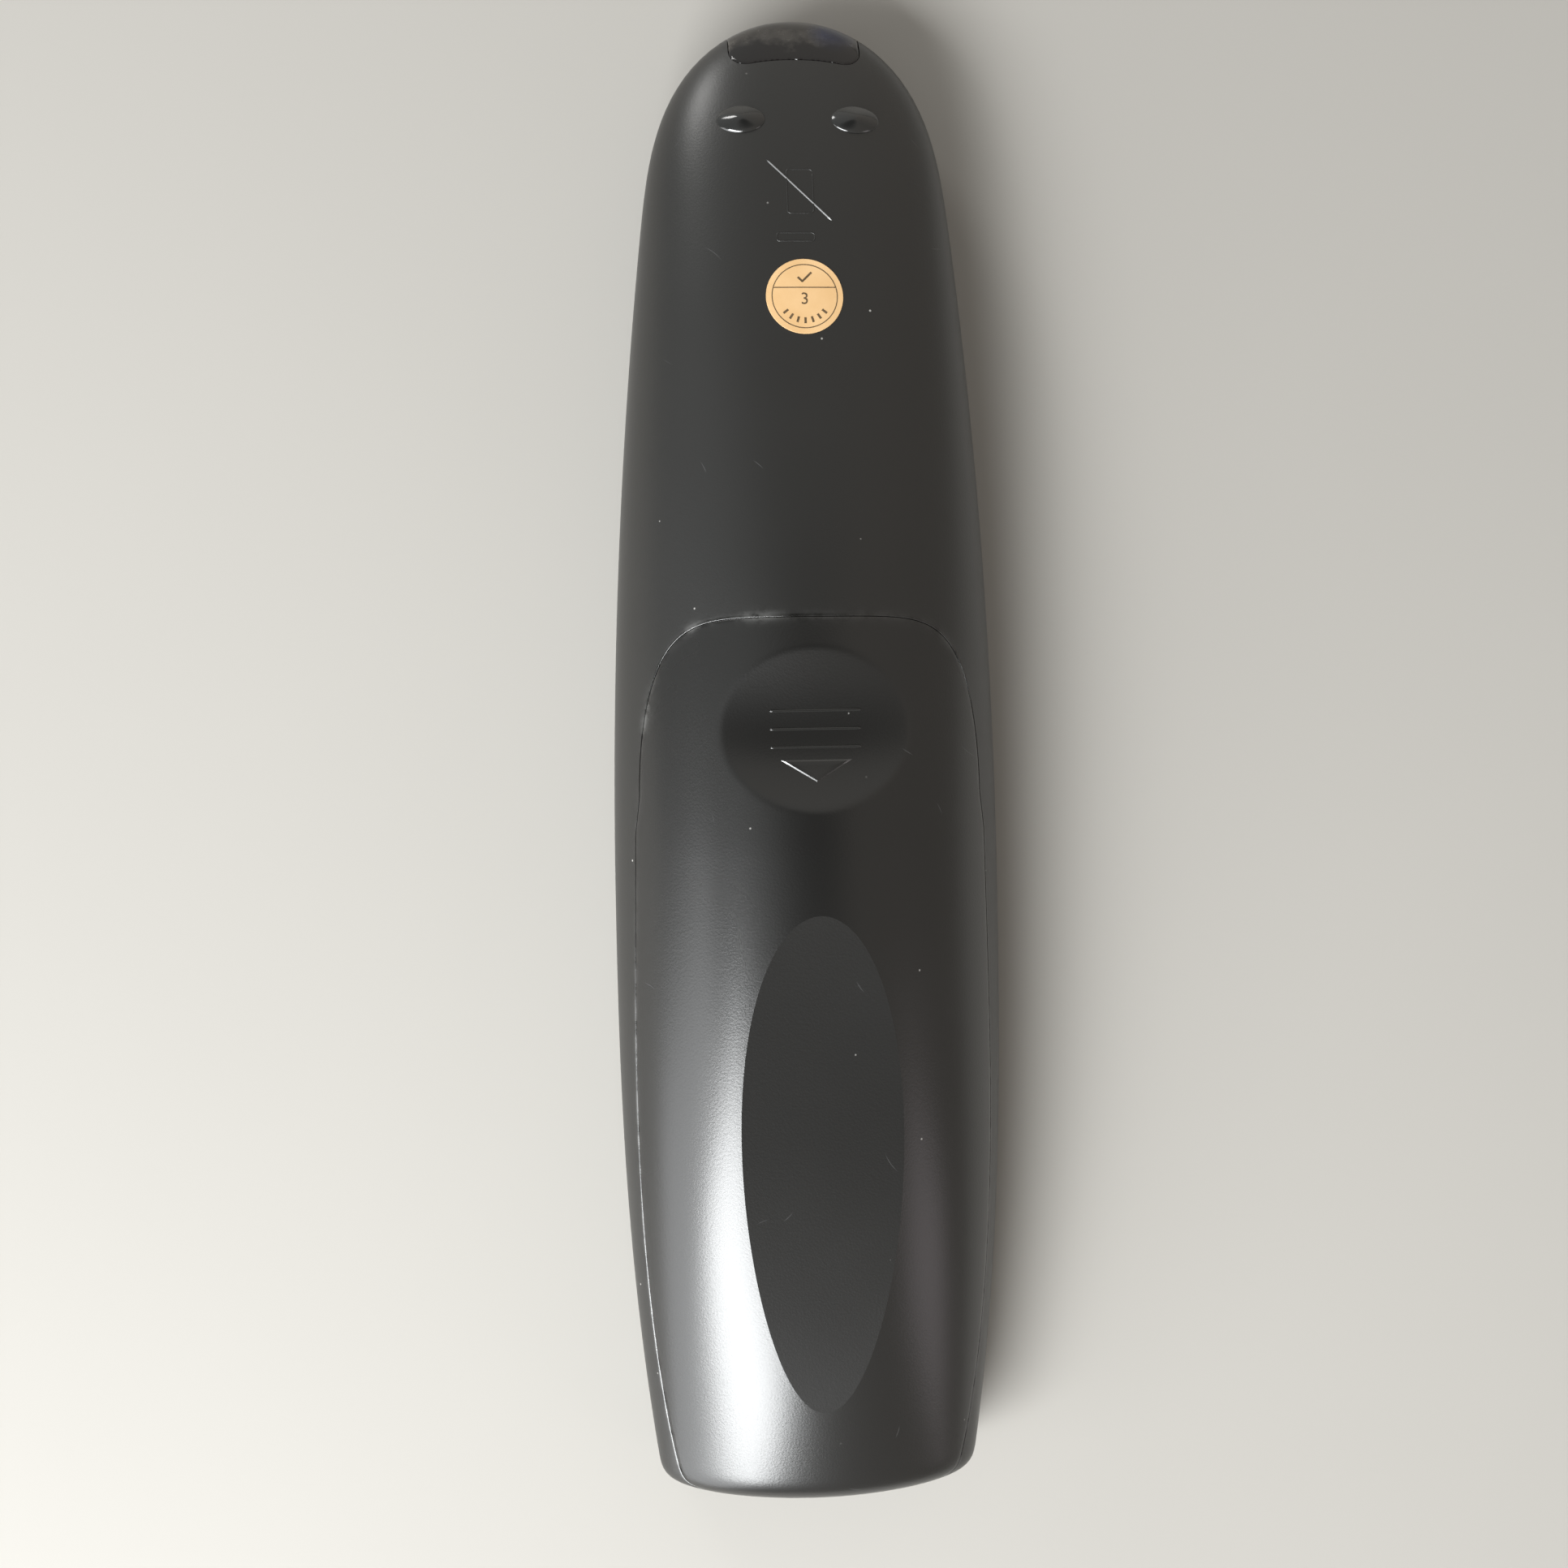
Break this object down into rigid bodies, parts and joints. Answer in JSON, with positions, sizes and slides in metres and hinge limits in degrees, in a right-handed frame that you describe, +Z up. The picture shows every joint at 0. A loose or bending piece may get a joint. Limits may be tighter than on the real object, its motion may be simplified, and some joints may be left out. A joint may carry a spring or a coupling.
{
  "type": "remote control",
  "caption": "Handheld infrared remote control with a domed back, a sliding battery cover with a thumb dish, a dark nose window and a rubber keypad on its face.",
  "frame": {"origin": "on the table under the middle of the body, at the plane of the front rim that it lies on, keys down", "axes": "+Y to the infrared end, +X to the right as seen from above with that end away, +Z up through the back"},
  "size_m": [0.0466, 0.178, 0.026],
  "materials": {
    "case_front": "satin",
    "case_back": "satin",
    "case_cover": "satin",
    "window_smoke": "gloss",
    "label_paper": "matte",
    "silicone_grey": "matte",
    "board_green": "satin",
    "carbon": "matte",
    "led_clear": "gloss",
    "chip_black": "matte",
    "ceramic_orange": "gloss",
    "can_blue": "gloss",
    "contact_steel": "bright",
    "cell_jacket": "gloss",
    "screw_steel": "satin",
    "key_grey": "matte",
    "key_red": "matte",
    "key_green": "matte",
    "key_yellow": "matte",
    "key_blue": "matte"
  },
  "bodies": {
    "case": {"front_shell": "case_front", "rear_shell": "case_back", "ir_window": "window_smoke", "inspection_sticker": "label_paper", "keypad_mat": "silicone_grey", "circuit_board": "board_green", "contact_pads": "carbon", "ir_led": "led_clear", "led_driver": "chip_black", "control_chip": "chip_black", "resonator": "ceramic_orange", "capacitor": "can_blue", "positive_plate": "contact_steel", "negative_plate": "contact_steel", "bridge_plate": "contact_steel", "negative_spring": "contact_steel", "bridge_spring": "contact_steel", "battery_left": "cell_jacket", "battery_right": "cell_jacket", "case_screws": "screw_steel", "board_screws": "screw_steel"},
    "battery_cover": {"battery_cover": "case_cover"},
    "power_key": {"power_key": "key_red"},
    "input_key": {"input_key": "key_grey"},
    "digit_1_key": {"digit_1_key": "key_grey"},
    "digit_2_key": {"digit_2_key": "key_grey"},
    "digit_3_key": {"digit_3_key": "key_grey"},
    "digit_4_key": {"digit_4_key": "key_grey"},
    "digit_5_key": {"digit_5_key": "key_grey"},
    "digit_6_key": {"digit_6_key": "key_grey"},
    "digit_7_key": {"digit_7_key": "key_grey"},
    "digit_8_key": {"digit_8_key": "key_grey"},
    "digit_9_key": {"digit_9_key": "key_grey"},
    "list_key": {"list_key": "key_grey"},
    "digit_0_key": {"digit_0_key": "key_grey"},
    "recall_key": {"recall_key": "key_grey"},
    "mute_key": {"mute_key": "key_grey"},
    "menu_key": {"menu_key": "key_grey"},
    "ok_key": {"ok_key": "key_grey"},
    "back_key": {"back_key": "key_grey"},
    "home_key": {"home_key": "key_grey"},
    "exit_key": {"exit_key": "key_grey"},
    "red_key": {"red_key": "key_red"},
    "green_key": {"green_key": "key_green"},
    "yellow_key": {"yellow_key": "key_yellow"},
    "blue_key": {"blue_key": "key_blue"},
    "rewind_key": {"rewind_key": "key_grey"},
    "play_key": {"play_key": "key_grey"},
    "forward_key": {"forward_key": "key_grey"},
    "stop_key": {"stop_key": "key_grey"},
    "pause_key": {"pause_key": "key_grey"},
    "record_key": {"record_key": "key_grey"},
    "up_key": {"up_key": "key_grey"},
    "left_key": {"left_key": "key_grey"},
    "down_key": {"down_key": "key_grey"},
    "right_key": {"right_key": "key_grey"},
    "volume_rocker": {"volume_rocker": "key_grey"},
    "channel_rocker": {"channel_rocker": "key_grey"}
  },
  "joints": [
    {"name": "cover_slide", "type": "slide", "parent": "case", "child": "battery_cover", "axis": [0, -1, 0], "range_m": [0, 0.11]},
    {"name": "power_key_press", "type": "slide", "parent": "case", "child": "power_key", "axis": [0, 0, 1], "range_m": [0, 0.0004], "stiffness_N_per_m": 2500},
    {"name": "input_key_press", "type": "slide", "parent": "case", "child": "input_key", "axis": [0, 0, 1], "range_m": [0, 0.0004], "stiffness_N_per_m": 2500},
    {"name": "digit_1_key_press", "type": "slide", "parent": "case", "child": "digit_1_key", "axis": [0, 0, 1], "range_m": [0, 0.0004], "stiffness_N_per_m": 2500},
    {"name": "digit_2_key_press", "type": "slide", "parent": "case", "child": "digit_2_key", "axis": [0, 0, 1], "range_m": [0, 0.0004], "stiffness_N_per_m": 2500},
    {"name": "digit_3_key_press", "type": "slide", "parent": "case", "child": "digit_3_key", "axis": [0, 0, 1], "range_m": [0, 0.0004], "stiffness_N_per_m": 2500},
    {"name": "digit_4_key_press", "type": "slide", "parent": "case", "child": "digit_4_key", "axis": [0, 0, 1], "range_m": [0, 0.0004], "stiffness_N_per_m": 2500},
    {"name": "digit_5_key_press", "type": "slide", "parent": "case", "child": "digit_5_key", "axis": [0, 0, 1], "range_m": [0, 0.0004], "stiffness_N_per_m": 2500},
    {"name": "digit_6_key_press", "type": "slide", "parent": "case", "child": "digit_6_key", "axis": [0, 0, 1], "range_m": [0, 0.0004], "stiffness_N_per_m": 2500},
    {"name": "digit_7_key_press", "type": "slide", "parent": "case", "child": "digit_7_key", "axis": [0, 0, 1], "range_m": [0, 0.0004], "stiffness_N_per_m": 2500},
    {"name": "digit_8_key_press", "type": "slide", "parent": "case", "child": "digit_8_key", "axis": [0, 0, 1], "range_m": [0, 0.0004], "stiffness_N_per_m": 2500},
    {"name": "digit_9_key_press", "type": "slide", "parent": "case", "child": "digit_9_key", "axis": [0, 0, 1], "range_m": [0, 0.0004], "stiffness_N_per_m": 2500},
    {"name": "list_key_press", "type": "slide", "parent": "case", "child": "list_key", "axis": [0, 0, 1], "range_m": [0, 0.0004], "stiffness_N_per_m": 2500},
    {"name": "digit_0_key_press", "type": "slide", "parent": "case", "child": "digit_0_key", "axis": [0, 0, 1], "range_m": [0, 0.0004], "stiffness_N_per_m": 2500},
    {"name": "recall_key_press", "type": "slide", "parent": "case", "child": "recall_key", "axis": [0, 0, 1], "range_m": [0, 0.0004], "stiffness_N_per_m": 2500},
    {"name": "mute_key_press", "type": "slide", "parent": "case", "child": "mute_key", "axis": [0, 0, 1], "range_m": [0, 0.0004], "stiffness_N_per_m": 2500},
    {"name": "menu_key_press", "type": "slide", "parent": "case", "child": "menu_key", "axis": [0, 0, 1], "range_m": [0, 0.0004], "stiffness_N_per_m": 2500},
    {"name": "ok_key_press", "type": "slide", "parent": "case", "child": "ok_key", "axis": [0, 0, 1], "range_m": [0, 0.0004], "stiffness_N_per_m": 2500},
    {"name": "back_key_press", "type": "slide", "parent": "case", "child": "back_key", "axis": [0, 0, 1], "range_m": [0, 0.0004], "stiffness_N_per_m": 2500},
    {"name": "home_key_press", "type": "slide", "parent": "case", "child": "home_key", "axis": [0, 0, 1], "range_m": [0, 0.0004], "stiffness_N_per_m": 2500},
    {"name": "exit_key_press", "type": "slide", "parent": "case", "child": "exit_key", "axis": [0, 0, 1], "range_m": [0, 0.0004], "stiffness_N_per_m": 2500},
    {"name": "red_key_press", "type": "slide", "parent": "case", "child": "red_key", "axis": [0, 0, 1], "range_m": [0, 0.0004], "stiffness_N_per_m": 2500},
    {"name": "green_key_press", "type": "slide", "parent": "case", "child": "green_key", "axis": [0, 0, 1], "range_m": [0, 0.0004], "stiffness_N_per_m": 2500},
    {"name": "yellow_key_press", "type": "slide", "parent": "case", "child": "yellow_key", "axis": [0, 0, 1], "range_m": [0, 0.0004], "stiffness_N_per_m": 2500},
    {"name": "blue_key_press", "type": "slide", "parent": "case", "child": "blue_key", "axis": [0, 0, 1], "range_m": [0, 0.0004], "stiffness_N_per_m": 2500},
    {"name": "rewind_key_press", "type": "slide", "parent": "case", "child": "rewind_key", "axis": [0, 0, 1], "range_m": [0, 0.0004], "stiffness_N_per_m": 2500},
    {"name": "play_key_press", "type": "slide", "parent": "case", "child": "play_key", "axis": [0, 0, 1], "range_m": [0, 0.0004], "stiffness_N_per_m": 2500},
    {"name": "forward_key_press", "type": "slide", "parent": "case", "child": "forward_key", "axis": [0, 0, 1], "range_m": [0, 0.0004], "stiffness_N_per_m": 2500},
    {"name": "stop_key_press", "type": "slide", "parent": "case", "child": "stop_key", "axis": [0, 0, 1], "range_m": [0, 0.0004], "stiffness_N_per_m": 2500},
    {"name": "pause_key_press", "type": "slide", "parent": "case", "child": "pause_key", "axis": [0, 0, 1], "range_m": [0, 0.0004], "stiffness_N_per_m": 2500},
    {"name": "record_key_press", "type": "slide", "parent": "case", "child": "record_key", "axis": [0, 0, 1], "range_m": [0, 0.0004], "stiffness_N_per_m": 2500},
    {"name": "up_key_press", "type": "slide", "parent": "case", "child": "up_key", "axis": [0, 0, 1], "range_m": [0, 0.0004], "stiffness_N_per_m": 2500},
    {"name": "left_key_press", "type": "slide", "parent": "case", "child": "left_key", "axis": [0, 0, 1], "range_m": [0, 0.0004], "stiffness_N_per_m": 2500},
    {"name": "down_key_press", "type": "slide", "parent": "case", "child": "down_key", "axis": [0, 0, 1], "range_m": [0, 0.0004], "stiffness_N_per_m": 2500},
    {"name": "right_key_press", "type": "slide", "parent": "case", "child": "right_key", "axis": [0, 0, 1], "range_m": [0, 0.0004], "stiffness_N_per_m": 2500},
    {"name": "volume_rocker_tilt", "type": "hinge", "parent": "case", "child": "volume_rocker", "pos_m": [0.01249, 0.0049, 0.0028], "axis": [1, 0, 0], "range_deg": [-2.5, 2.5], "stiffness_Nm_per_rad": 0.2},
    {"name": "channel_rocker_tilt", "type": "hinge", "parent": "case", "child": "channel_rocker", "pos_m": [-0.01249, 0.0049, 0.0028], "axis": [1, 0, 0], "range_deg": [-2.5, 2.5], "stiffness_Nm_per_rad": 0.2}
  ]
}
